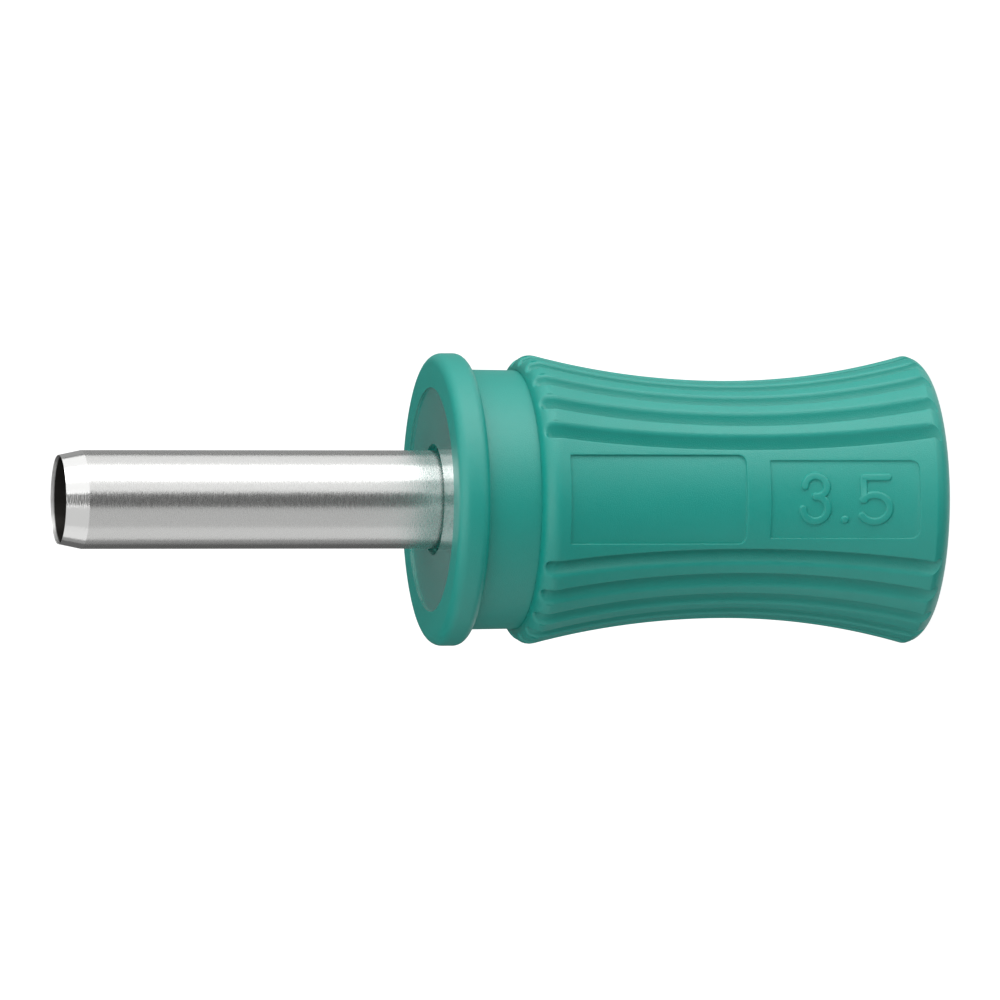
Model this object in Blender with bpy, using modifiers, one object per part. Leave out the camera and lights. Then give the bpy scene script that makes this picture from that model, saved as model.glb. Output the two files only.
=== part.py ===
"""A disposable tissue punch: a steel tube ground to a round cutting edge, bonded into a moulded hub whose flange
stops the cut, and a waisted, grooved grip that the hub plugs into.

Metres, Z up. The tool stands on the rear end of its grip, with its axis on Z, its cutting edge on top and its label
panels facing -Y. The origin is the centre of the rear face.
"""

import math

import bmesh
import bpy
from mathutils import Vector

# Cutting tube, sized from its cutting edge: the edge's radius is half the size of the punch
edge_radius = 0.00175
bevel_drop = 0.000188
bevel_length = 0.000936
hone_drop = 0.000032
hone_length = 0.000145
tube_reach = 0.014894
tube_seat_depth = 0.009

# Front hub: the flange that stops the cut, the neck behind it and the spigot inside the grip
flange_overhang = 0.00064
flange_thickness = 0.001248
flange_front_round = 0.00043
flange_back_round = 0.00038
face_ring_width = 0.001358
face_disc_depth = 0.0001
well_gap = 0.000227
well_depth = 0.001
neck_length = 0.002131
neck_draft = math.radians(0.76)
socket_wall = 0.001162
socket_floor = 0.0013
spigot_chamfer = 0.0003

# Grip: a waist between two flares of different sweep, a rounded shoulder in front and a rounded rim behind
grip_length = 0.016448
waist_wall = 0.001407
waist_height = 0.007937
front_flare_radius = 0.03134
rear_flare_radius = 0.02707
shoulder_round = 0.000596
rim_height = 0.000612
rim_inset = 0.000558
rim_bulge = 0.000113
mouth_depth = 0.0008

# Grooves along the grip, in two groups that face +X and -X, with a plain band between them at -Y and at +Y.
# The band is measured between the middles of the grooves beside it.
grooves_per_side = 10
plain_band = math.radians(57.6)
groove_width = 0.00072
groove_depth = 0.0003

# Two label panels sunk into the plain band at -Y, one behind the other
panel_depth = 0.0001
panel_front_corner = 0.00004
panel_rear_corner = 0.0003
panel_spacing = 0.000888
name_panel_front_margin = 0.001011
name_panel_side_margin = 0.000188
size_panel_rear_margin = 0.001284
size_panel_side_margin = 0.000433
size_panel_length = 0.005902

# Clearance where one piece sits in or on another
fit_gap = 0.0001

# Fineness of the turned shapes and of the swept groove
turns = 72
arc_steps = 4
flare_steps = 9
groove_ring_resolution = 3
groove_nose_turn = math.radians(82)
weld_distance = 1e-6
sharp_angle = math.radians(30)

# Radii that several pieces share, from the cutting edge outwards
tube_radius = edge_radius + bevel_drop
bore_radius = edge_radius - hone_drop
spigot_radius = tube_radius + fit_gap + socket_wall
waist_radius = spigot_radius + fit_gap + waist_wall

# Heights that several pieces share, from the rear face up
neck_foot = grip_length - mouth_depth + fit_gap
flange_back = grip_length + neck_length
flange_front = flange_back + flange_thickness
cutting_edge = flange_front + tube_reach
tube_foot = flange_front - tube_seat_depth
spigot_foot = tube_foot - fit_gap - socket_floor


def clear_scene():
    for old in list(bpy.data.objects):
        bpy.data.objects.remove(old, do_unlink=True)


def new_collection(name):
    collection = bpy.data.collections.new(name)
    bpy.context.scene.collection.children.link(collection)
    return collection


def plain_material(name, colour, roughness, metallic):
    material = bpy.data.materials.new(name)
    material.use_nodes = True
    shader = material.node_tree.nodes["Principled BSDF"]
    shader.inputs["Base Color"].default_value = (*colour, 1.0)
    shader.inputs["Roughness"].default_value = roughness
    shader.inputs["Metallic"].default_value = metallic
    return material


def arc(centre, radius, start, end, steps):
    """Points (distance from axis, height) round part of a circle. Angles run from the outward direction, up."""
    points = []
    for step in range(steps + 1):
        angle = start + (end - start) * step / steps
        points.append((centre[0] + radius * math.cos(angle), centre[1] + radius * math.sin(angle)))
    return points


def rounded_outer_edge(radius, height, rounding, upper):
    """A quarter circle at the outer edge of a disc, from its top face out, or from its side in to its bottom face."""
    if upper:
        return arc((radius - rounding, height - rounding), rounding, math.radians(90), 0, arc_steps)
    return arc((radius - rounding, height + rounding), rounding, 0, math.radians(-90), arc_steps)


def turned(name, profile, closed, collection, material):
    """A profile of (distance from axis, height) turned round Z. Its outer side runs from top to bottom."""
    mesh = bpy.data.meshes.new(name)
    points = [(radius, 0, height) for radius, height in profile]
    edges = [(i, i + 1) for i in range(len(points) - 1)]
    if closed:
        edges.append((len(points) - 1, 0))
    mesh.from_pydata(points, edges, [])
    piece = bpy.data.objects.new(name, mesh)
    collection.objects.link(piece)
    screw = piece.modifiers.new("turn", "SCREW")
    screw.steps = turns
    screw.render_steps = turns
    screw.use_merge_vertices = True
    screw.merge_threshold = weld_distance
    if material:
        mesh.materials.append(material)
    return piece


def settle(piece):
    """Makes the result of a piece's modifiers its own mesh, smooth but for its sharp edges."""
    graph = bpy.context.evaluated_depsgraph_get()
    mesh = bpy.data.meshes.new_from_object(piece.evaluated_get(graph))
    mesh.name = piece.name
    piece.modifiers.clear()
    piece.data = mesh
    mesh.shade_smooth()
    mesh.set_sharp_from_angle(angle=sharp_angle)


def hide_cutter(piece):
    piece.hide_render = True
    piece.display_type = "WIRE"


def cut(piece, operand):
    boolean = piece.modifiers.new("cut by " + operand.name, "BOOLEAN")
    boolean.operation = "DIFFERENCE"
    if isinstance(operand, bpy.types.Collection):
        boolean.operand_type = "COLLECTION"
        boolean.collection = operand
    else:
        boolean.object = operand
    boolean.solver = "EXACT"


def mesh_from_curve(curve_object, collection):
    """A mesh object in place of a curve object, with the curve's loose caps welded on."""
    graph = bpy.context.evaluated_depsgraph_get()
    mesh = bpy.data.meshes.new_from_object(curve_object.evaluated_get(graph))
    shape = bmesh.new()
    shape.from_mesh(mesh)
    bmesh.ops.remove_doubles(shape, verts=shape.verts, dist=weld_distance)
    bmesh.ops.recalc_face_normals(shape, faces=shape.faces)
    shape.to_mesh(mesh)
    shape.free()
    piece = bpy.data.objects.new(curve_object.name + "_mesh", mesh)
    piece.matrix_world = curve_object.matrix_world
    collection.objects.link(piece)
    bpy.data.objects.remove(curve_object, do_unlink=True)
    return piece


def flare_radius_at(height):
    """Radius of the waisted grip: two arcs that meet, level, at the waist."""
    sweep = front_flare_radius if height > waist_height else rear_flare_radius
    return waist_radius + sweep - math.sqrt(sweep**2 - (height - waist_height) ** 2)


def shoulder_centre():
    """Centre of the rounding that touches both the grip's front end and its front flare."""
    height = grip_length - shoulder_round
    reach = front_flare_radius + shoulder_round
    across = math.sqrt(reach**2 - (height - waist_height) ** 2)
    return (waist_radius + front_flare_radius - across, height)


def shoulder_foot_angle():
    """Direction from the rounding's centre to the point where it meets the flare."""
    centre = shoulder_centre()
    return math.atan2(waist_height - centre[1], waist_radius + front_flare_radius - centre[0])


def neck_radius_at(height):
    """The neck leaves the grip where the shoulder's rounding starts, and widens by its draft up to the flange."""
    return shoulder_centre()[0] + (height - grip_length) * math.tan(neck_draft)


def arc_between(start, end, bulge, steps):
    """Points of the arc from start to end that bulges away from the axis by so much at its middle."""
    middle = ((start[0] + end[0]) / 2, (start[1] + end[1]) / 2)
    half = math.dist(start, end) / 2
    along = ((end[0] - start[0]) / (2 * half), (end[1] - start[1]) / (2 * half))
    radius = (half**2 + bulge**2) / (2 * bulge)
    back = radius - bulge
    centre = (middle[0] + along[1] * back, middle[1] - along[0] * back)
    first = math.atan2(start[1] - centre[1], start[0] - centre[0])
    last = math.atan2(end[1] - centre[1], end[0] - centre[0])
    return arc(centre, radius, first, last, steps)


def flare_profile(inset):
    """The grip's outer side, from the lip of its mouth to its rear face, moved towards the axis by inset."""
    lip_angle = math.acos(fit_gap / shoulder_round)
    points = arc(shoulder_centre(), shoulder_round, lip_angle, shoulder_foot_angle(), arc_steps)
    top = points[-1][1]
    for step in range(1, flare_steps):
        height = top + (waist_height - top) * step / flare_steps
        points.append((flare_radius_at(height), height))
    for step in range(flare_steps):
        height = waist_height + (rim_height - waist_height) * step / flare_steps
        points.append((flare_radius_at(height), height))
    corner = (flare_radius_at(rim_height), rim_height)
    points.extend(arc_between(corner, (corner[0] - rim_inset, 0), rim_bulge, arc_steps))
    return [(radius - inset, height) for radius, height in points]


def make_tube(collection, material):
    profile = [
        (edge_radius, cutting_edge),
        (tube_radius, cutting_edge - bevel_length),
        (tube_radius, tube_foot),
        (bore_radius, tube_foot),
        (bore_radius, cutting_edge - hone_length),
    ]
    tube = turned("cutting_tube", profile, True, collection, material)
    settle(tube)


def make_hub(collection, material):
    socket_radius = tube_radius + fit_gap
    socket_bottom = tube_foot - fit_gap
    well_radius = tube_radius + well_gap
    flange_radius = neck_radius_at(flange_back) + flange_overhang
    face_disc_radius = flange_radius - face_ring_width
    profile = [
        (0, socket_bottom),
        (socket_radius, socket_bottom),
        (socket_radius, flange_front - well_depth),
        (well_radius, flange_front - well_depth),
        (well_radius, flange_front - face_disc_depth),
        (face_disc_radius, flange_front - face_disc_depth),
        (face_disc_radius, flange_front),
        *rounded_outer_edge(flange_radius, flange_front, flange_front_round, True),
        *rounded_outer_edge(flange_radius, flange_back, flange_back_round, False),
        (neck_radius_at(flange_back), flange_back),
        (neck_radius_at(neck_foot), neck_foot),
        (spigot_radius, neck_foot),
        (spigot_radius, spigot_foot + spigot_chamfer),
        (spigot_radius - spigot_chamfer, spigot_foot),
        (0, spigot_foot),
    ]
    hub = turned("front_hub", profile, False, collection, material)
    settle(hub)


def make_groove_cutters(collection):
    """Round-nosed cutters that follow the flare, copied round both sides of the grip."""
    round_radius = (groove_width**2 / 4 + groove_depth**2) / (2 * groove_depth)
    lift = round_radius - groove_depth
    top = shoulder_centre()[1]
    bottom = -round_radius
    path = []
    steps = 2 * flare_steps
    for step in range(steps + 1):
        height = bottom + (top - bottom) * step / steps
        path.append((flare_radius_at(height) + lift, height, 1.0))
    last = path[-1]
    along = Vector((last[0] - path[-2][0], last[1] - path[-2][1])).normalized()
    for step in range(1, arc_steps + 1):
        angle = groove_nose_turn * step / arc_steps
        reach = round_radius * math.sin(angle)
        path.append((last[0] + along.x * reach, last[1] + along.y * reach, math.cos(angle)))
    curve = bpy.data.curves.new("groove_cutter", "CURVE")
    curve.dimensions = "3D"
    curve.bevel_depth = round_radius
    curve.bevel_resolution = groove_ring_resolution
    curve.use_fill_caps = True
    spline = curve.splines.new("POLY")
    spline.points.add(len(path) - 1)
    for point, (radius, height, share) in zip(spline.points, path):
        point.co = (radius, 0, height, 1)
        point.radius = share
    curve_object = bpy.data.objects.new("groove_cutter", curve)
    collection.objects.link(curve_object)
    first = mesh_from_curve(curve_object, collection)
    pitch = (math.pi - plain_band) / (grooves_per_side - 1)
    for side in (0, math.pi):
        for place in range(grooves_per_side):
            cutter = bpy.data.objects.new("groove_cutter_copy", first.data)
            cutter.rotation_euler.z = side + (place - (grooves_per_side - 1) / 2) * pitch
            collection.objects.link(cutter)
            hide_cutter(cutter)
    bpy.data.objects.remove(first, do_unlink=True)


def panel_outline(low, high, half):
    """A rectangle's corners (across, height): nearly sharp towards the front, rounder towards the rear."""
    front, rear = panel_front_corner, panel_rear_corner
    quarter = math.radians(90)
    return [
        *arc((half - front, high - front), front, 0, quarter, arc_steps),
        *arc((front - half, high - front), front, quarter, 2 * quarter, arc_steps),
        *arc((rear - half, low + rear), rear, 2 * quarter, 3 * quarter, arc_steps),
        *arc((half - rear, low + rear), rear, 3 * quarter, 4 * quarter, arc_steps),
    ]


def make_panel_cutter(name, low, high, side_margin, core, collection):
    """An upright plate in the panel's outline, less the grip's core, so that the panel's floor follows the flare."""
    half = waist_radius * math.sin(plain_band / 2) - groove_width / 2 - side_margin
    outline = panel_outline(low, high, half)
    curve = bpy.data.curves.new(name, "CURVE")
    curve.dimensions = "2D"
    curve.fill_mode = "BOTH"
    curve.extrude = waist_radius / 2
    spline = curve.splines.new("POLY")
    spline.points.add(len(outline) - 1)
    spline.use_cyclic_u = True
    for point, (across, height) in zip(spline.points, outline):
        point.co = (across, height, 0, 1)
    curve_object = bpy.data.objects.new(name, curve)
    curve_object.rotation_euler.x = math.radians(90)
    curve_object.location.y = -waist_radius
    collection.objects.link(curve_object)
    bpy.context.view_layer.update()
    cutter = mesh_from_curve(curve_object, collection)
    cut(cutter, core)
    hide_cutter(cutter)
    return cutter


def make_grip(collection, cutters, groove_cutters, material):
    socket_radius = spigot_radius + fit_gap
    socket_bottom = spigot_foot - fit_gap
    mouth_radius = neck_radius_at(grip_length) + fit_gap
    mouth_floor = grip_length - mouth_depth
    profile = [
        (0, socket_bottom),
        (socket_radius, socket_bottom),
        (socket_radius, mouth_floor),
        (mouth_radius, mouth_floor),
        *flare_profile(0),
        (0, 0),
    ]
    grip = turned("grip_sleeve", profile, False, collection, material)
    core_profile = [(0, grip_length), *flare_profile(panel_depth), (0, 0)]
    core = turned("panel_floor_core", core_profile, False, cutters, None)
    hide_cutter(core)
    make_groove_cutters(groove_cutters)
    cut(grip, groove_cutters)
    size_low = size_panel_rear_margin
    size_high = size_low + size_panel_length
    name_low = size_high + panel_spacing
    name_high = grip_length - name_panel_front_margin
    cut(grip, make_panel_cutter("name_panel_cutter", name_low, name_high, name_panel_side_margin, core, cutters))
    cut(grip, make_panel_cutter("size_panel_cutter", size_low, size_high, size_panel_side_margin, core, cutters))
    settle(grip)


def main():
    clear_scene()
    parts = new_collection("tissue_punch")
    cutters = new_collection("cutters")
    groove_cutters = new_collection("groove_cutters")
    steel = plain_material("satin_steel", (0.62, 0.61, 0.59), 0.3, 1.0)
    plastic = plain_material("sea_green_plastic", (0.05, 0.38, 0.3), 0.4, 0.0)
    make_tube(parts, steel)
    make_hub(parts, plastic)
    make_grip(parts, cutters, groove_cutters, plastic)


main()
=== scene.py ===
"""The looks of the tissue punch: its ground steel tube, the moulded hub and the grooved grip, each
built fine enough to be seen close to, with their finishes, the studio and the camera.

The pieces are modelled in millimetres, because Blender's tools lose accuracy on details this small
in metres, and each one is brought down to metres when it is finished. The tool stands on the rear
end of its grip with its axis on Z and its label panels facing -Y, as the frame does.
"""

import math

import bpy
from mathutils import Matrix, Vector


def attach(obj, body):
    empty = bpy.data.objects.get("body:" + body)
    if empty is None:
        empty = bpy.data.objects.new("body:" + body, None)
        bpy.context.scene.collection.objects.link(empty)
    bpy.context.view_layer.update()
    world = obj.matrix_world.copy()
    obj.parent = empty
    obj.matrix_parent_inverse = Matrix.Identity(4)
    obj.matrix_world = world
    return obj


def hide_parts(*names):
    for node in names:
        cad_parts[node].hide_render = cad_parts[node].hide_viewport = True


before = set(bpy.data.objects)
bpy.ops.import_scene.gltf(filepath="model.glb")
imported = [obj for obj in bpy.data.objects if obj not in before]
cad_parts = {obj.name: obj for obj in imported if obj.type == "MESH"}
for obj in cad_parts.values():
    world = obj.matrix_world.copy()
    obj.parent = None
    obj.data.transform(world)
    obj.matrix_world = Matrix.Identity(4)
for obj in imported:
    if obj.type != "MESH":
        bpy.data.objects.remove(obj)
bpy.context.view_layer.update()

metres_per_mm = 0.001

# Lengths below are in millimetres, up to the studio.
# Cutting tube
edge_radius = 1.75
bevel_drop = 0.188
bevel_length = 0.905
hone_drop = 0.032
hone_length = 0.18
tube_reach = 14.894
tube_seat_depth = 9.0
bevel_softening = 0.03

# Front hub
flange_overhang = 0.64
flange_thickness = 1.248
flange_front_round = 0.43
flange_back_round = 0.38
face_ring_width = 1.358
face_disc_depth = 0.1
well_gap = 0.25
well_depth = 0.35
neck_length = 2.131
neck_draft = math.radians(0.76)
socket_wall = 1.162
socket_floor = 1.3
spigot_chamfer = 0.3
step_softening = 0.018
neck_root_round = 0.12

# Grip
grip_length = 16.448
waist_wall = 1.407
waist_height = 7.937
front_flare_radius = 31.34
rear_flare_radius = 27.07
shoulder_round = 0.596
rim_height = 0.612
rim_inset = 0.558
rim_bulge = 0.113
rim_corner_round = 0.18
rear_edge_round = 0.09
mouth_depth = 0.8

# Grooves
grooves_per_side = 10
plain_band = math.radians(57.6)
groove_width = 0.54
groove_depth = 0.36
groove_crest_round = 0.12
groove_lean_limit = 0.9
groove_nose_height = 16.0
groove_nose_rise = 0.25
run_out_height = 1.03
run_out_round = 2.2

# Label panels and the size mark
name_panel_depth = 0.1
size_panel_depth = 0.07
panel_front_corner = 0.04
panel_rear_corner = 0.3
panel_crest_round = 0.03
panel_spacing = 0.94
name_panel_front_margin = 1.09
name_panel_side_margin = 0.235
size_panel_rear_margin = 1.284
size_panel_side_margin = 0.453
size_panel_length = 5.84
digit_stroke = 0.325
digit_lift = 0.08
digit_edge_round = 0.055

# Strokes of the size mark 3.5, which is read towards the rear of the grip with its top towards +X.
# Places are (up from the panels' middle line, height above the grip's rear face). A bowl is its
# centre, its radius across and its radius up as the digit is read, and the angles in degrees
# between which it runs, anticlockwise from the right of the digit.
three_top_bowl = ((0.513, 5.335), 0.43, 0.41, 180, -90)
three_bottom_bowl = ((-0.375, 5.36), 0.49, 0.49, 90, -180)
point_path = [(-0.8, 4.2), (-0.8, 4.18)]
five_bowl = ((-0.353, 3.045), 0.585, 0.53, 141, -146)
five_corner_bowl = ((0.815, 3.41), 0.06, 0.06, 90, 180)
five_bar_end = (0.875, 2.52)
five_bar_foot = (-0.014, 3.445)

# Clearance where one piece sits in or on another, and the fine line that shows of it at the mouth
fit_gap = 0.1
lip_gap = 0.02

# Radii and heights that several pieces share
tube_radius = edge_radius + bevel_drop
bore_radius = edge_radius - hone_drop
spigot_radius = tube_radius + fit_gap + socket_wall
waist_radius = spigot_radius + fit_gap + waist_wall
neck_foot = grip_length - mouth_depth + fit_gap
flange_back = grip_length + neck_length
flange_front = flange_back + flange_thickness
cutting_edge = flange_front + tube_reach
tube_foot = flange_front - tube_seat_depth
spigot_foot = tube_foot - fit_gap - socket_floor

# The tools that shape the grip, and the distances in millimetres and the turn in radians below
# which two points or two directions count as one
cutter_lip = 0.03
lip_slope = 0.2
cutter_headroom = 0.25
panel_cell = 0.15
digit_wall_lean = 0.025
stroke_root = 0.05
stroke_step = 0.001
boolean_solver = "MANIFOLD"
seam_merge_distance = 0.0005
cut_merge_distance = 0.0001
line_tolerance = 0.0001
least_turn = 1e-9

# Fineness
round_columns = 192
grip_columns = 240
arc_steps = 8
corner_steps = 4
neck_root_steps = 6
panel_crest_steps = 3
digit_edge_steps = 4
flare_steps = 24
groove_steps = 2 * flare_steps
bar_end_steps = 10
bowl_steps = 20
corner_bowl_steps = 5
quarter = math.radians(90)
smooth_angle = math.radians(34)

# Studio, in metres
camera_elevation = math.radians(12.4)
camera_distance = 0.45425
camera_aim_height = 0.017009
camera_lens = 414
camera_shift = -0.0005
camera_nearest = 0.01
camera_furthest = 10
sensor_width = 36
white = (1, 1, 1, 1)
floor_size = 4.0
floor_grey = (0.3, 0.3, 0.3, 1)
floor_glow = 0.95
world_light = 0.12
lamp_distance = 0.4
# Each lamp: how far it stands round the tool from the camera's side towards +X, and how far above
# level, both in degrees; how wide and how tall it looks from the tool, in degrees; and how bright
# its surface is
lamps = [
    ("wide_key", 71, 5, 112, 120, 0.85),
    ("key", 66, -2, 39, 62, 1.6),
    ("fill", -63, 16, 96, 88, 0.48),
    ("low_fill", -98, -8, 58, 44, 0.17),
    ("edge", 150, 0, 36, 60, 0.2),
    ("front", 0, 50, 40, 60, 0.85),
    ("ahead", 0, 90, 50, 50, 0.8),
    ("rear", 0, -64, 60, 45, 0.22),
    ("rear_key", 50, -48, 40, 30, 0.45),
    ("behind", 180, -52, 80, 44, 0.7),
]

# Finishes. Colours are what the plain material reflects, and pairs are the ends of a slow
# variation. Heights of marks are in metres, and a scale or a fineness is a number of marks to a
# metre. The reach and the fade of a polished, honed or ground part are in millimetres.
plastic_dark = (0.002, 0.325, 0.268)
plastic_light = (0.004, 0.355, 0.292)
plastic_ior = 1.5
grip_gloss = 0.7
hub_gloss = 0.75
satin_roughness = (0.31, 0.38)
disc_roughness = 0.09
disc_coat_roughness = 0.05
disc_coat_ior = 1.8
polish_reach = 3 * face_disc_depth
polish_fade = face_disc_depth
grain_scale = 26000.0
grain_height = 0.00002
grain_strength = 0.7
gloss_wave_scale = 700.0
hub_mark_fineness = 9000.0
hub_mark_length = 150.0
hub_mark_height = 0.000002
hub_mark_strength = 0.35
steel_dark = (0.66, 0.66, 0.65)
steel_light = (0.82, 0.82, 0.81)
steel_roughness = (0.2, 0.34)
hone_roughness = 0.42
bevel_roughness = 0.17
bevel_bright = (0.95, 0.95, 0.94)
# Painted shade: the bore is coloured near-black so that the inside of the tube stays dark
painted_bore_shade = (0.035, 0.033, 0.03)
steel_anisotropy = 0.68
steel_anisotropy_turn = 0.25
steel_mark_fineness = 22000.0
steel_mark_length = 5500.0
steel_mark_height = 0.00001
steel_mark_strength = 0.5
hone_fade = hone_drop / 8
bore_margin = hone_drop / 4
mask_fade = 0.02
fine_noise = {"Detail": 2.0, "Roughness": 0.6}
slow_noise = {"Detail": 3.0, "Roughness": 0.5}


def arc(centre, radius, start, end, steps=arc_steps):
    """Points (distance from axis, height) round part of a circle; angles go from outward to up."""
    points = []
    for step in range(steps + 1):
        angle = start + (end - start) * step / steps
        points.append((centre[0] + radius * math.cos(angle), centre[1] + radius * math.sin(angle)))
    return points


def rounded_corner(before, corner, after, radius, steps=corner_steps):
    """The points of an arc that rounds an outline's corner between two straight stretches."""
    back = (Vector(before) - Vector(corner)).normalized()
    on = (Vector(after) - Vector(corner)).normalized()
    half = back.angle(on) / 2
    centre = Vector(corner) + (back + on).normalized() * (radius / math.sin(half))
    first = Vector(corner) + back * (radius / math.tan(half)) - centre
    last = Vector(corner) + on * (radius / math.tan(half)) - centre
    points = []
    for step in range(steps + 1):
        share = step / steps
        spoke = first.lerp(last, share).normalized() * radius
        points.append(tuple(centre + spoke))
    return points


def softened(outline, corners, radius):
    """An outline with some of its corners, given by their places in the list, rounded."""
    points = []
    for place, point in enumerate(outline):
        if place in corners:
            following = outline[(place + 1) % len(outline)]
            points.extend(rounded_corner(outline[place - 1], point, following, radius))
        else:
            points.append(point)
    return points


def start_editing(piece):
    bpy.context.view_layer.objects.active = piece
    bpy.ops.object.mode_set(mode="EDIT")


def stop_editing():
    bpy.ops.object.mode_set(mode="OBJECT")


def drawn_round(name, outline, columns):
    """A round shape: a circle extruded and scaled from point to point of an outline, whose points
    are (distance from axis, height). It is left in edit mode, with its first and last ring open."""
    bpy.ops.object.select_all(action="DESELECT")
    radius, height = outline[0]
    bpy.ops.mesh.primitive_circle_add(vertices=columns, radius=radius, location=(0, 0, height))
    piece = bpy.context.object
    piece.name = name
    bpy.ops.object.transform_apply()
    start_editing(piece)
    bpy.ops.mesh.select_all(action="SELECT")
    for next_radius, next_height in outline[1:]:
        rise = (0, 0, next_height - height)
        bpy.ops.mesh.extrude_edges_move(TRANSFORM_OT_translate={"value": rise})
        share = next_radius / radius
        bpy.ops.transform.resize(value=(share, share, 1), center_override=(0, 0, 0))
        radius, height = next_radius, next_height
    return piece


def close_ends():
    """Fills the first and last ring of the round in edit mode with flat faces."""
    bpy.ops.mesh.select_all(action="DESELECT")
    bpy.ops.mesh.select_non_manifold()
    bpy.ops.mesh.fill_holes(sides=0)
    finish_normals()


def join_ends():
    """Joins the last ring of the round in edit mode to its first, for a ring-shaped piece."""
    bpy.ops.mesh.select_all(action="DESELECT")
    bpy.ops.mesh.select_non_manifold()
    bpy.ops.mesh.bridge_edge_loops()
    finish_normals()


def finish_normals():
    """Points the faces of the piece in edit mode outwards, and leaves edit mode."""
    bpy.ops.mesh.select_all(action="SELECT")
    bpy.ops.mesh.normals_make_consistent(inside=False)
    stop_editing()


def flare_at(height):
    """Radius of the waisted grip and its side's slope: two arcs that meet level at the waist."""
    sweep = front_flare_radius if height > waist_height else rear_flare_radius
    rise = height - waist_height
    back = math.sqrt(sweep**2 - rise**2)
    return waist_radius + sweep - back, math.atan2(rise, back)


def shoulder_centre():
    """Centre of the rounding that touches both the grip's front end and its front flare."""
    height = grip_length - shoulder_round
    reach = front_flare_radius + shoulder_round
    across = math.sqrt(reach**2 - (height - waist_height) ** 2)
    return (waist_radius + front_flare_radius - across, height)


def shoulder_foot_angle():
    """Direction from the rounding's centre to the point where it meets the flare."""
    centre = shoulder_centre()
    return math.atan2(waist_height - centre[1], waist_radius + front_flare_radius - centre[0])


def neck_radius_at(height):
    """The neck leaves the grip where the shoulder's rounding starts, and widens by its draft up to
    the flange."""
    return shoulder_centre()[0] + (height - grip_length) * math.tan(neck_draft)


def arc_between(start, end, bulge, steps):
    """Points of the arc from start to end that bulges outwards by so much at its middle."""
    middle = ((start[0] + end[0]) / 2, (start[1] + end[1]) / 2)
    half = math.dist(start, end) / 2
    along = ((end[0] - start[0]) / (2 * half), (end[1] - start[1]) / (2 * half))
    radius = (half**2 + bulge**2) / (2 * bulge)
    back = radius - bulge
    centre = (middle[0] + along[1] * back, middle[1] - along[0] * back)
    first = math.atan2(start[1] - centre[1], start[0] - centre[0])
    last = math.atan2(end[1] - centre[1], end[0] - centre[0])
    return arc(centre, radius, first, last, steps)


def grip_side():
    """The grip's outer side, from the lip of its mouth down to the edge of its rear face."""
    centre = shoulder_centre()
    lip_angle = math.acos(lip_gap / shoulder_round)
    points = arc(centre, shoulder_round, lip_angle, shoulder_foot_angle())
    top = points[-1][1]
    for step in range(1, flare_steps):
        height = top + (waist_height - top) * step / flare_steps
        points.append((flare_at(height)[0], height))
    for step in range(flare_steps):
        height = waist_height + (rim_height - waist_height) * step / flare_steps
        points.append((flare_at(height)[0], height))
    corner = (flare_at(rim_height)[0], rim_height)
    rim = arc_between(corner, (corner[0] - rim_inset, 0), rim_bulge, arc_steps)
    face_point = (rim[-1][0] / 2, 0)
    points.extend(rounded_corner(points[-1], rim[0], rim[2], rim_corner_round))
    points.extend(rim[2:-1])
    points.extend(rounded_corner(rim[-2], rim[-1], face_point, rear_edge_round))
    return points


def on_grip(across, height, lift, turn):
    """A point laid on the grip's side: so far across from a line along the grip at angle turn, at a
    height on the flare (and on round the shoulder past its foot), and lifted off the surface."""
    centre = shoulder_centre()
    foot_angle = shoulder_foot_angle()
    foot_height = centre[1] + shoulder_round * math.sin(foot_angle)
    if height > foot_height:
        angle = foot_angle + (height - foot_height) / shoulder_round / math.cos(foot_angle)
        radius = centre[0] + (shoulder_round + lift) * math.cos(angle)
        place = centre[1] + (shoulder_round + lift) * math.sin(angle)
    else:
        radius, slope = flare_at(height)
        radius += lift * math.cos(slope)
        place = height - lift * math.sin(slope)
    aside = turn + math.asin(across / radius)
    return (radius * math.cos(aside), radius * math.sin(aside), place)


def lay_on_grip(piece, turn):
    """Lays a flat piece, with Y along the grip and Z off its surface, on the grip's side."""
    for vertex in piece.data.vertices:
        vertex.co = on_grip(*vertex.co, turn)


def swept_bar(name, section, path, round_start, round_end):
    """A closed section drawn along a flat path, ring by ring. A round end is half of the section
    spun about the path's end. The section's points are (across, lift), and it has a point on the
    path's line above and below."""
    bpy.ops.object.select_all(action="DESELECT")
    bpy.ops.mesh.primitive_circle_add(vertices=len(section))
    piece = bpy.context.object
    piece.name = name
    heading = path_heading(path, 0)
    for vertex, (across, lift) in zip(piece.data.vertices, section):
        aside = Vector((math.sin(heading), -math.cos(heading), 0)) * across
        vertex.co = Vector((*path[0], lift)) + aside
    start_editing(piece)
    bpy.ops.mesh.select_all(action="SELECT")
    for place in range(1, len(path)):
        step = Vector(path[place]) - Vector(path[place - 1])
        bpy.ops.mesh.extrude_edges_move(TRANSFORM_OT_translate={"value": (*step, 0)})
        new_heading = path_heading(path, place)
        turn = math.remainder(new_heading - heading, 2 * math.pi)
        if abs(turn) > least_turn:
            pivot = (*path[place], 0)
            bpy.ops.transform.rotate(value=-turn, orient_axis="Z", center_override=pivot)
        heading = new_heading
    stop_editing()
    if round_end:
        spin_end(piece, path[-1], path_heading(path, len(path) - 1))
    if round_start:
        spin_end(piece, path[0], path_heading(path, 0) + math.pi)
    start_editing(piece)
    bpy.ops.mesh.select_all(action="SELECT")
    bpy.ops.mesh.remove_doubles(threshold=seam_merge_distance)
    bpy.ops.mesh.select_all(action="DESELECT")
    bpy.ops.mesh.select_non_manifold()
    bpy.ops.mesh.fill_holes(sides=0)
    finish_normals()
    return piece


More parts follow.
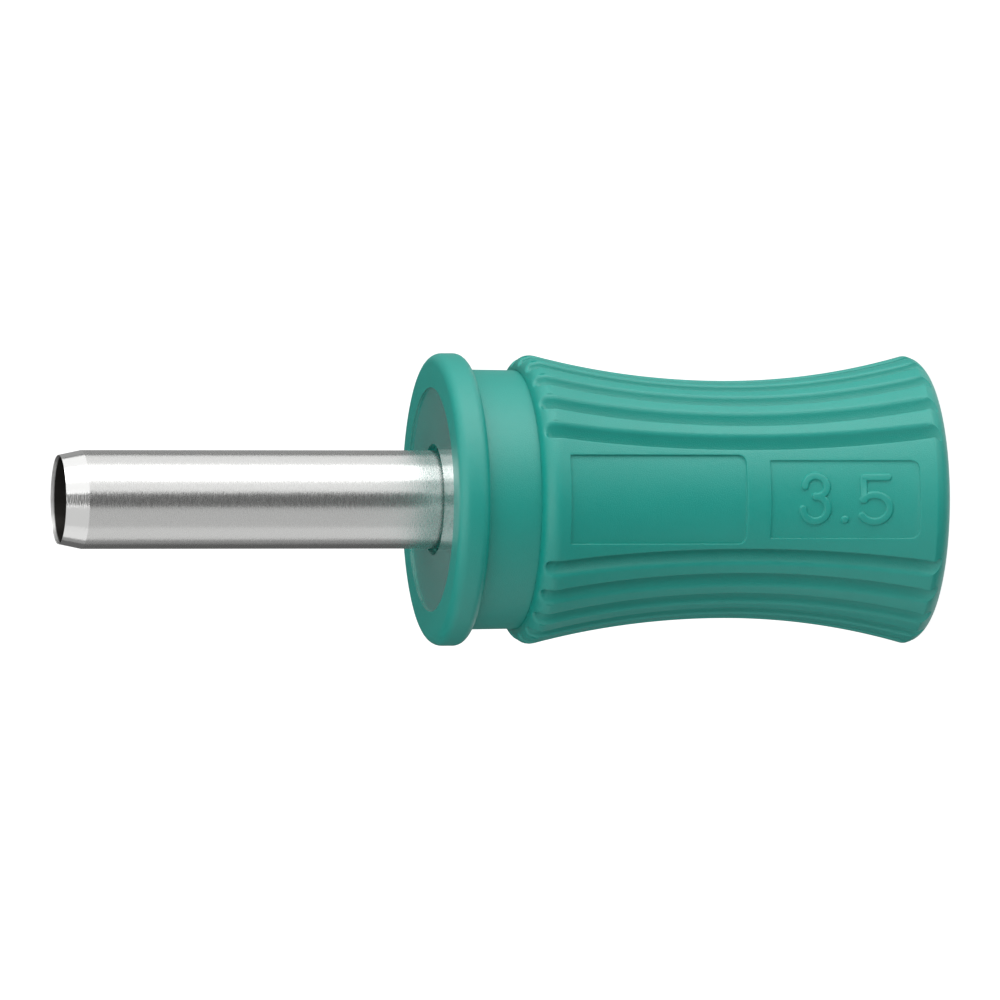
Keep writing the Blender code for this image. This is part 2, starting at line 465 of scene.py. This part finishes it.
def path_heading(path, place):
    """The direction of a flat path at one of its points."""
    before = path[max(place - 1, 0)]
    after = path[min(place + 1, len(path) - 1)]
    return math.atan2(after[1] - before[1], after[0] - before[0])


def spin_end(piece, end, heading):
    """Spins the right-hand half of the section at a path's end round to the left-hand half."""
    right = Vector((math.sin(heading), -math.cos(heading)))
    forward = Vector((math.cos(heading), math.sin(heading)))
    for polygon in piece.data.polygons:
        polygon.select = False
    for edge in piece.data.edges:
        edge.select = False
    for vertex in piece.data.vertices:
        offset = Vector(vertex.co[:2]) - Vector(end)
        on_end = abs(offset.dot(forward)) < line_tolerance
        vertex.select = on_end and offset.dot(right) > -line_tolerance
    start_editing(piece)
    bpy.ops.mesh.select_mode(type="VERT")
    bpy.ops.mesh.spin(steps=bar_end_steps, angle=-math.pi, center=(*end, 0), axis=(0, 0, 1))
    stop_editing()


def mirrored(half):
    """A closed section from its right-hand half, whose two ends are on the middle line."""
    return half + [(-across, lift) for across, lift in reversed(half[1:-1])]


def groove_section():
    """A round-bottomed groove whose walls turn over a small rounding on to the surface."""
    bottom_round = (groove_width**2 / 4 + groove_depth**2) / (2 * groove_depth)
    centre_lift = bottom_round - groove_depth
    reach = bottom_round + groove_crest_round
    drop = centre_lift + groove_crest_round
    crest_across = math.sqrt(reach**2 - drop**2)
    wall_angle = -math.asin(drop / reach)
    half = arc((0, centre_lift), bottom_round, -quarter, wall_angle)
    crest_centre = (crest_across, -groove_crest_round)
    half.extend(arc(crest_centre, groove_crest_round, wall_angle + math.pi, quarter)[1:])
    edge = crest_across + cutter_lip
    half.extend([(edge, cutter_lip * lip_slope), (edge, cutter_headroom), (0, cutter_headroom)])
    return mirrored(half)


def stroke_section(lift):
    """The raised stroke of a digit: sloping walls, rounded over to a flat top."""
    half_width = digit_stroke / 2
    top_half = half_width - digit_wall_lean
    floor = -size_panel_depth
    half = [(0, floor - stroke_root), (half_width, floor - stroke_root), (half_width, floor)]
    edge_centre = (top_half - digit_edge_round, floor + lift - digit_edge_round)
    half.extend(arc(edge_centre, digit_edge_round, 0, quarter, digit_edge_steps))
    half.append((0, floor + lift))
    return mirrored(half)


def make_groove_cutters():
    """Bars in the shape of the grooves, whose noses rise towards the middle of each side."""
    low = -groove_width
    widest = (math.pi - plain_band) / 2
    cutters = []
    for side in (0, math.pi):
        for place in range(grooves_per_side):
            aside = widest * (2 * place / (grooves_per_side - 1) - 1)
            nose = groove_nose_height + groove_nose_rise * (1 - abs(aside) / widest)
            path = []
            for step in range(groove_steps + 1):
                path.append((0, low + (nose - low) * step / groove_steps))
            cutter = swept_bar("groove_cutter", groove_section(), path, False, True)
            lean(cutter, math.tan(aside))
            run_out(cutter)
            lay_on_grip(cutter, side + aside)
            cutters.append(cutter)
    return joined(cutters)


def lean(cutter, slope):
    """Leans a groove's floor towards the label panel beside it, as the mould opens along X, so that
    the wall there is steep and the far one gentle."""
    slope = min(max(slope, -groove_lean_limit), groove_lean_limit)
    for vertex in cutter.data.vertices:
        vertex.co.x += slope * max(-vertex.co.z, 0)


def run_out(cutter):
    """Curves a groove's rear end up, so that it fades in the rounding of the grip's rim."""
    for vertex in cutter.data.vertices:
        past = max(run_out_height - vertex.co.y, 0)
        vertex.co.z += past**2 / (2 * run_out_round)


def joined(pieces):
    bpy.ops.object.select_all(action="DESELECT")
    for piece in pieces:
        piece.select_set(True)
    bpy.context.view_layer.objects.active = pieces[0]
    bpy.ops.object.join()
    return pieces[0]


def panel_cutter(low, high, side_margin, depth):
    """A block in a label panel's outline, with small roundings at its floor and at its rim."""
    half_width = waist_radius * math.sin(plain_band / 2) - groove_width / 2 - side_margin
    half_length = (high - low) / 2
    middle = (low + high) / 2
    bpy.ops.object.select_all(action="DESELECT")
    bpy.ops.mesh.primitive_grid_add(
        x_subdivisions=round(2 * half_width / panel_cell),
        y_subdivisions=round(2 * half_length / panel_cell),
        size=2,
    )
    piece = bpy.context.object
    piece.scale = (half_width, half_length, 1)
    bpy.ops.object.transform_apply(location=False, rotation=False, scale=True)
    round_panel_corners(piece, half_width, half_length)
    piece.location = (0, middle, -depth)
    bpy.ops.object.transform_apply(location=True, rotation=False, scale=False)
    rounding = panel_crest_round
    crest_across = rounding / 2
    floor_across = crest_across - 2 * rounding
    floor_round = (floor_across, rounding - depth)
    wall = arc(floor_round, rounding, -quarter, 0, panel_crest_steps)
    wall.extend(arc((crest_across, -rounding), rounding, math.pi, quarter, panel_crest_steps))
    edge = crest_across + cutter_lip
    wall.extend([(edge, cutter_lip * lip_slope), (edge, cutter_headroom)])
    start_editing(piece)
    bpy.ops.mesh.select_all(action="SELECT")
    growth, lift = 0, -depth
    for next_growth, next_lift in wall:
        if next_lift > lift:
            rise = (0, 0, next_lift - lift)
            bpy.ops.mesh.extrude_region_move(TRANSFORM_OT_translate={"value": rise})
        across = (half_width + next_growth) / (half_width + growth)
        along = (half_length + next_growth) / (half_length + growth)
        bpy.ops.transform.resize(value=(across, along, 1), center_override=(0, middle, 0))
        growth, lift = next_growth, next_lift
    finish_normals()
    lay_on_grip(piece, -quarter)
    return piece


def round_panel_corners(piece, half_width, half_length):
    """Pulls a flat grid's square corners in to quarter circles: small in front, larger behind."""
    for vertex in piece.data.vertices:
        rounding = panel_front_corner if vertex.co.y > 0 else panel_rear_corner
        corner = Vector((half_width - rounding, half_length - rounding))
        across = abs(vertex.co.x) - corner.x
        along = abs(vertex.co.y) - corner.y
        if across > 0 and along > 0:
            share = max(across, along) / math.hypot(across, along)
            vertex.co.x = math.copysign(corner.x + across * share, vertex.co.x)
            vertex.co.y = math.copysign(corner.y + along * share, vertex.co.y)


def bowl(centre, radius_across, radius_up, start, end, steps=bowl_steps):
    """Points of a digit's bowl, in the terms of the size mark's strokes above."""
    points = []
    for step in range(steps + 1):
        angle = math.radians(start + (end - start) * step / steps)
        up = centre[0] + radius_up * math.sin(angle)
        points.append((up, centre[1] - radius_across * math.cos(angle)))
    return points


def make_digit_strokes():
    """The strokes of the size mark 3.5, each a hair lower than the one before, so that no two tops
    coincide."""
    paths = [
        bowl(*three_top_bowl),
        bowl(*three_bottom_bowl),
        point_path,
        bowl(*five_bowl),
        [five_bar_end, *bowl(*five_corner_bowl, corner_bowl_steps), five_bar_foot],
    ]
    strokes = []
    for place, path in enumerate(paths):
        section = stroke_section(digit_lift - place * stroke_step)
        stroke = swept_bar("digit_stroke", section, path, True, True)
        lay_on_grip(stroke, -quarter)
        strokes.append(stroke)
    return strokes


def combine(piece, tool, operation):
    """Cuts a tool out of a piece, or adds it to the piece, and removes the tool."""
    modifier = piece.modifiers.new("shape", "BOOLEAN")
    modifier.operation = operation
    modifier.object = tool
    modifier.solver = boolean_solver
    bpy.context.view_layer.objects.active = piece
    bpy.ops.object.modifier_apply(modifier=modifier.name)
    bpy.data.objects.remove(tool, do_unlink=True)


def make_grip():
    socket_radius = spigot_radius + fit_gap
    socket_bottom = spigot_foot - fit_gap
    mouth_radius = neck_radius_at(grip_length) + lip_gap
    mouth_floor = grip_length - mouth_depth
    outline = [
        (socket_radius, socket_bottom),
        (socket_radius, mouth_floor),
        (mouth_radius, mouth_floor),
        *grip_side(),
    ]
    grip = drawn_round("moulded_grip", outline, grip_columns)
    close_ends()
    combine(grip, make_groove_cutters(), "DIFFERENCE")
    size_low = size_panel_rear_margin
    size_high = size_low + size_panel_length
    size_panel = panel_cutter(size_low, size_high, size_panel_side_margin, size_panel_depth)
    combine(grip, size_panel, "DIFFERENCE")
    name_low = size_high + panel_spacing
    name_high = grip_length - name_panel_front_margin
    name_panel = panel_cutter(name_low, name_high, name_panel_side_margin, name_panel_depth)
    combine(grip, name_panel, "DIFFERENCE")
    for stroke in make_digit_strokes():
        combine(grip, stroke, "UNION")
    return grip


def make_hub():
    socket_radius = tube_radius + fit_gap
    socket_bottom = tube_foot - fit_gap
    well_radius = tube_radius + well_gap
    flange_radius = neck_radius_at(flange_back) + flange_overhang
    disc_radius = flange_radius - face_ring_width
    disc_height = flange_front - face_disc_depth
    front_round = (flange_radius - flange_front_round, flange_front - flange_front_round)
    back_round = (flange_radius - flange_back_round, flange_back + flange_back_round)
    inside = [
        (socket_radius, socket_bottom),
        (socket_radius, flange_front - well_depth),
        (well_radius, flange_front - well_depth),
        (well_radius, disc_height),
        (disc_radius, disc_height),
        (disc_radius, flange_front),
        (front_round[0], flange_front),
    ]
    back = [
        (neck_radius_at(flange_back), flange_back),
        (neck_radius_at(neck_foot), neck_foot),
        (spigot_radius, neck_foot),
        (spigot_radius, spigot_foot + spigot_chamfer),
        (spigot_radius - spigot_chamfer, spigot_foot),
    ]
    step_corners = (3, 4, 5)
    outline = softened(inside, step_corners, step_softening)
    outline.extend(arc(front_round, flange_front_round, quarter, 0)[1:])
    outline.extend(arc(back_round, flange_back_round, 0, -quarter))
    root = rounded_corner(outline[-1], back[0], back[1], neck_root_round, neck_root_steps)
    outline.extend(root)
    outline.extend(back[1:])
    hub = drawn_round("moulded_hub", outline, round_columns)
    close_ends()
    return hub


def make_tube():
    outline = [
        (edge_radius, cutting_edge),
        (tube_radius, cutting_edge - bevel_length),
        (tube_radius, tube_foot),
        (bore_radius, tube_foot),
        (bore_radius, cutting_edge - hone_length),
    ]
    outline = softened(outline, (1,), bevel_softening)
    tube = drawn_round("ground_tube", outline, round_columns)
    join_ends()
    return tube


def finish_piece(piece, material, node):
    """Brings a piece down to metres, smooths its shading, gives it its material and puts it in the
    frame in place of its node."""
    bpy.ops.object.select_all(action="DESELECT")
    piece.select_set(True)
    bpy.context.view_layer.objects.active = piece
    start_editing(piece)
    bpy.ops.mesh.select_all(action="SELECT")
    bpy.ops.mesh.remove_doubles(threshold=cut_merge_distance)
    stop_editing()
    piece.scale = (metres_per_mm,) * 3
    bpy.ops.object.transform_apply(location=False, rotation=False, scale=True)
    bpy.ops.object.shade_smooth_by_angle(angle=smooth_angle)
    piece.data.materials.clear()
    piece.data.materials.append(material)
    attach(piece, "root")
    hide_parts(node)


class Finish:
    """A material under construction: its nodes, and short ways to add and join them."""

    def __init__(self, name):
        self.material = bpy.data.materials.new(name)
        self.material.use_nodes = True
        self.tree = self.material.node_tree
        self.shader = self.tree.nodes["Principled BSDF"]

    def add(self, kind, **settings):
        return add_node(self.tree, kind, **settings)

    def feed(self, socket, source):
        """Gives a socket another node's output, a colour or a plain number."""
        if isinstance(source, bpy.types.NodeSocket):
            self.tree.links.new(source, socket)
        elif isinstance(source, tuple):
            socket.default_value = (*source, 1)
        else:
            socket.default_value = source

    def surface(self, **inputs):
        """Feeds inputs of the shader, named with _ for a space."""
        for name, source in inputs.items():
            self.feed(self.shader.inputs[name.replace("_", " ")], source)


def add_node(tree, kind, **settings):
    """Adds a node with some of its properties, and then of its inputs, set by name."""
    node = tree.nodes.new(kind)
    for name, value in settings.items():
        if name in node.bl_rna.properties:
            setattr(node, name, value)
        else:
            node.inputs[name.replace("_", " ")].default_value = value
    return node


def new_group(name, inputs, outputs):
    """A node group with number inputs and outputs, and the nodes at its two ends."""
    group = bpy.data.node_groups.new(name, "ShaderNodeTree")
    for label in inputs:
        group.interface.new_socket(label, in_out="INPUT", socket_type="NodeSocketFloat")
    for label in outputs:
        group.interface.new_socket(label, in_out="OUTPUT", socket_type="NodeSocketFloat")
    start = group.nodes.new("NodeGroupInput")
    end = group.nodes.new("NodeGroupOutput")
    return group, start, end


def make_round_streaks():
    """Fine marks that run round the axis: long in the turning direction and short along Z."""
    group, start, end = new_group("round_streaks", ["Fineness", "Length"], ["Marks"])
    place = add_node(group, "ShaderNodeTexCoord")
    stretch = add_node(group, "ShaderNodeCombineXYZ")
    scaled = add_node(group, "ShaderNodeVectorMath", operation="MULTIPLY")
    noise = add_node(group, "ShaderNodeTexNoise", Scale=1.0, **fine_noise)
    links = group.links
    links.new(start.outputs["Length"], stretch.inputs["X"])
    links.new(start.outputs["Length"], stretch.inputs["Y"])
    links.new(start.outputs["Fineness"], stretch.inputs["Z"])
    links.new(place.outputs["Object"], scaled.inputs[0])
    links.new(stretch.outputs["Vector"], scaled.inputs[1])
    links.new(scaled.outputs["Vector"], noise.inputs["Vector"])
    links.new(noise.outputs["Fac"], end.inputs["Marks"])
    return group


def make_mould_grain():
    """The fine even grain that a spark-eroded mould leaves, and slower waves of gloss."""
    group, start, end = new_group("mould_grain", ["Grain", "Waves"], ["Height", "Gloss"])
    place = add_node(group, "ShaderNodeTexCoord")
    grain = add_node(group, "ShaderNodeTexNoise", **fine_noise)
    waves = add_node(group, "ShaderNodeTexNoise", **slow_noise)
    links = group.links
    for noise, scale, result in ((grain, "Grain", "Height"), (waves, "Waves", "Gloss")):
        links.new(place.outputs["Object"], noise.inputs["Vector"])
        links.new(start.outputs[scale], noise.inputs["Scale"])
        links.new(noise.outputs["Fac"], end.inputs[result])
    return group


def stepped(finish, length, zero_at, one_at):
    """0 where a length is at zero_at or past it and 1 at one_at or past it, both in millimetres."""
    node = finish.add("ShaderNodeMapRange", clamp=True)
    finish.feed(node.inputs["Value"], length)
    node.inputs["From Min"].default_value = zero_at * metres_per_mm
    node.inputs["From Max"].default_value = one_at * metres_per_mm
    return node.outputs["Result"]


def above(finish, height, fade):
    """1 above a height and 0 below it, with a soft edge."""
    place = finish.add("ShaderNodeTexCoord")
    parts = finish.add("ShaderNodeSeparateXYZ")
    finish.feed(parts.inputs["Vector"], place.outputs["Object"])
    return stepped(finish, parts.outputs["Z"], height - fade, height + fade)


def within(finish, radius, fade):
    """1 nearer to the axis than a radius and 0 further out, with a soft edge."""
    place = finish.add("ShaderNodeTexCoord")
    flat = finish.add("ShaderNodeVectorMath", operation="MULTIPLY")
    flat.inputs[1].default_value = (1, 1, 0)
    reach = finish.add("ShaderNodeVectorMath", operation="LENGTH")
    finish.feed(flat.inputs[0], place.outputs["Object"])
    finish.feed(reach.inputs[0], flat.outputs["Vector"])
    return stepped(finish, reach.outputs["Value"], radius + fade, radius - fade)


def product(finish, first, second):
    node = finish.add("ShaderNodeMath", operation="MULTIPLY")
    finish.feed(node.inputs[0], first)
    finish.feed(node.inputs[1], second)
    return node.outputs["Value"]


def blended_number(finish, share, first, second):
    """first where share is 0 and second where it is 1."""
    node = finish.add("ShaderNodeMix")
    finish.feed(node.inputs["Factor"], share)
    finish.feed(node.inputs["A"], first)
    finish.feed(node.inputs["B"], second)
    return node.outputs[0]


def blended_colour(finish, share, first, second):
    """first where share is 0 and second where it is 1."""
    node = finish.add("ShaderNodeMix", data_type="RGBA")
    finish.feed(node.inputs["Factor"], share)
    finish.feed(node.inputs["A"], first)
    finish.feed(node.inputs["B"], second)
    return node.outputs[2]


def bumped(finish, height, distance, strength, before=None):
    """The normal over marks of a height, laid over the normal of coarser ones if there are any."""
    node = finish.add("ShaderNodeBump", Distance=distance, Strength=strength)
    finish.feed(node.inputs["Height"], height)
    if before:
        finish.feed(node.inputs["Normal"], before)
    return node.outputs["Normal"]


def make_green_plastic(name, gloss, grain_group):
    """Satin ABS with the mould's grain, and its roughness and normal for what goes over them."""
    finish = Finish(name)
    grain = finish.add(
        "ShaderNodeGroup",
        node_tree=grain_group,
        Grain=grain_scale,
        Waves=gloss_wave_scale,
    )
    waves = grain.outputs["Gloss"]
    satin = blended_number(finish, waves, *satin_roughness)
    normal = bumped(finish, grain.outputs["Height"], grain_height, grain_strength)
    finish.surface(
        Base_Color=blended_colour(finish, waves, plastic_dark, plastic_light),
        Roughness=satin,
        IOR=plastic_ior,
        Specular_IOR_Level=gloss,
        Normal=normal,
    )
    return finish, satin, normal


def make_grip_plastic(grain_group):
    return make_green_plastic("satin_green_grip", grip_gloss, grain_group)[0].material


def make_hub_plastic(grain_group, streak_group):
    """The grip's plastic with faint turning marks, and polished in the disc sunk in the flange."""
    finish, satin, normal = make_green_plastic("satin_green_hub", hub_gloss, grain_group)
    disc_radius = neck_radius_at(flange_back) + flange_overhang - face_ring_width
    front = above(finish, flange_front - polish_reach, polish_fade)
    polished = product(finish, front, within(finish, disc_radius, mask_fade))
    streaks = finish.add(
        "ShaderNodeGroup",
        node_tree=streak_group,
        Fineness=hub_mark_fineness,
        Length=hub_mark_length,
    )
    marks = streaks.outputs["Marks"]
    finish.surface(
        Roughness=blended_number(finish, polished, satin, disc_roughness),
        Coat_Weight=polished,
        Coat_Roughness=disc_coat_roughness,
        Coat_IOR=disc_coat_ior,
        Normal=bumped(finish, marks, hub_mark_height, hub_mark_strength, normal),
    )
    return finish.material


def make_ground_steel(streak_group):
    """Steel with marks that run round the tube, a brighter ground bevel, a rougher honed edge
    inside it, and a bore coloured near-black as painted shade for the inside of the tube."""
    finish = Finish("ground_steel")
    streaks = finish.add(
        "ShaderNodeGroup",
        node_tree=streak_group,
        Fineness=steel_mark_fineness,
        Length=steel_mark_length,
    )
    marks = streaks.outputs["Marks"]
    bevel = above(finish, cutting_edge - bevel_length, mask_fade)
    honed = within(finish, edge_radius, hone_fade)
    # Where the bore's colour is painted shade
    bore = within(finish, bore_radius + bore_margin, hone_fade)
    tone = blended_colour(finish, marks, steel_dark, steel_light)
    outside = blended_colour(finish, bevel, tone, bevel_bright)
    ground = blended_colour(finish, honed, outside, tone)
    satin = blended_number(finish, marks, *steel_roughness)
    outside_roughness = blended_number(finish, bevel, satin, bevel_roughness)
    tangent = finish.add("ShaderNodeTangent", direction_type="RADIAL", axis="Z")
    finish.surface(
        Base_Color=blended_colour(finish, bore, ground, painted_bore_shade),
        Metallic=1.0,
        Roughness=blended_number(finish, honed, outside_roughness, hone_roughness),
        Anisotropic=steel_anisotropy,
        Anisotropic_Rotation=steel_anisotropy_turn,
        Tangent=tangent.outputs["Tangent"],
        Normal=bumped(finish, marks, steel_mark_height, steel_mark_strength),
    )
    return finish.material


def make_floor():
    """A pale floor for the camera alone: it neither lights the tool nor shows in it."""
    bpy.ops.object.select_all(action="DESELECT")
    bpy.ops.mesh.primitive_plane_add(size=floor_size)
    floor = bpy.context.object
    floor.name = "floor"
    material = bpy.data.materials.new("pale_floor")
    material.use_nodes = True
    shader = material.node_tree.nodes["Principled BSDF"]
    shader.inputs["Base Color"].default_value = floor_grey
    shader.inputs["Roughness"].default_value = 1.0
    shader.inputs["Specular IOR Level"].default_value = 0.0
    shader.inputs["Emission Color"].default_value = white
    shader.inputs["Emission Strength"].default_value = floor_glow
    floor.data.materials.append(material)
    floor.visible_glossy = False
    floor.visible_diffuse = False
    floor.visible_shadow = False


def softbox(name, turn, rise, wide, tall, brightness):
    """A flat lamp that stands round the tool's axis and faces it."""
    lamp = bpy.data.lights.new(name, "AREA")
    lamp.shape = "RECTANGLE"
    lamp.size = 2 * lamp_distance * math.tan(math.radians(wide / 2))
    lamp.size_y = 2 * lamp_distance * math.tan(math.radians(tall / 2))
    lamp.energy = brightness * lamp.size * lamp.size_y * math.pi
    stand = bpy.data.objects.new(name, lamp)
    bpy.context.scene.collection.objects.link(stand)
    turn = math.radians(turn)
    rise = math.radians(rise)
    level = math.cos(rise)
    outward = Vector((level * math.sin(turn), -level * math.cos(turn), math.sin(rise)))
    stand.location = Vector((0, 0, camera_aim_height)) + outward * lamp_distance
    stand.rotation_euler = (-outward).to_track_quat("-Z", "Y").to_euler()


def make_world():
    """White round the set for the camera, and a soft even light on the tool."""
    world = bpy.data.worlds.new("studio")
    bpy.context.scene.world = world
    world.use_nodes = True
    nodes = world.node_tree.nodes
    links = world.node_tree.links
    fill = nodes["Background"]
    fill.inputs["Color"].default_value = white
    fill.inputs["Strength"].default_value = world_light
    surround = nodes.new("ShaderNodeBackground")
    surround.inputs["Color"].default_value = white
    mix = nodes.new("ShaderNodeMixShader")
    path = nodes.new("ShaderNodeLightPath")
    links.new(path.outputs["Is Camera Ray"], mix.inputs[0])
    links.new(fill.outputs[0], mix.inputs[1])
    links.new(surround.outputs[0], mix.inputs[2])
    links.new(mix.outputs[0], nodes["World Output"].inputs["Surface"])


def make_camera():
    """The photograph's view: from the panels' side and a little from the cutting edge's end, rolled
    so that +X is up in the picture."""
    camera = bpy.data.cameras.new("camera")
    camera.lens = camera_lens
    camera.sensor_width = sensor_width
    camera.shift_y = camera_shift
    camera.clip_start = camera_nearest
    camera.clip_end = camera_furthest
    holder = bpy.data.objects.new("camera", camera)
    bpy.context.scene.collection.objects.link(holder)
    back = Vector((0, -math.cos(camera_elevation), math.sin(camera_elevation)))
    up = Vector((1, 0, 0))
    right = up.cross(back)
    turn = Matrix((right, up, back)).transposed()
    place = Vector((0, 0, camera_aim_height)) + back * camera_distance
    holder.matrix_world = Matrix.Translation(place) @ turn.to_4x4()
    bpy.context.scene.camera = holder


def main():
    streak_group = make_round_streaks()
    grain_group = make_mould_grain()
    steel = make_ground_steel(streak_group)
    hub_plastic = make_hub_plastic(grain_group, streak_group)
    grip_plastic = make_grip_plastic(grain_group)
    finish_piece(make_tube(), steel, "cutting_tube")
    finish_piece(make_hub(), hub_plastic, "front_hub")
    finish_piece(make_grip(), grip_plastic, "grip_sleeve")
    make_floor()
    for lamp in lamps:
        softbox(*lamp)
    make_world()
    make_camera()
    bpy.context.scene.view_settings.view_transform = "Standard"


main()
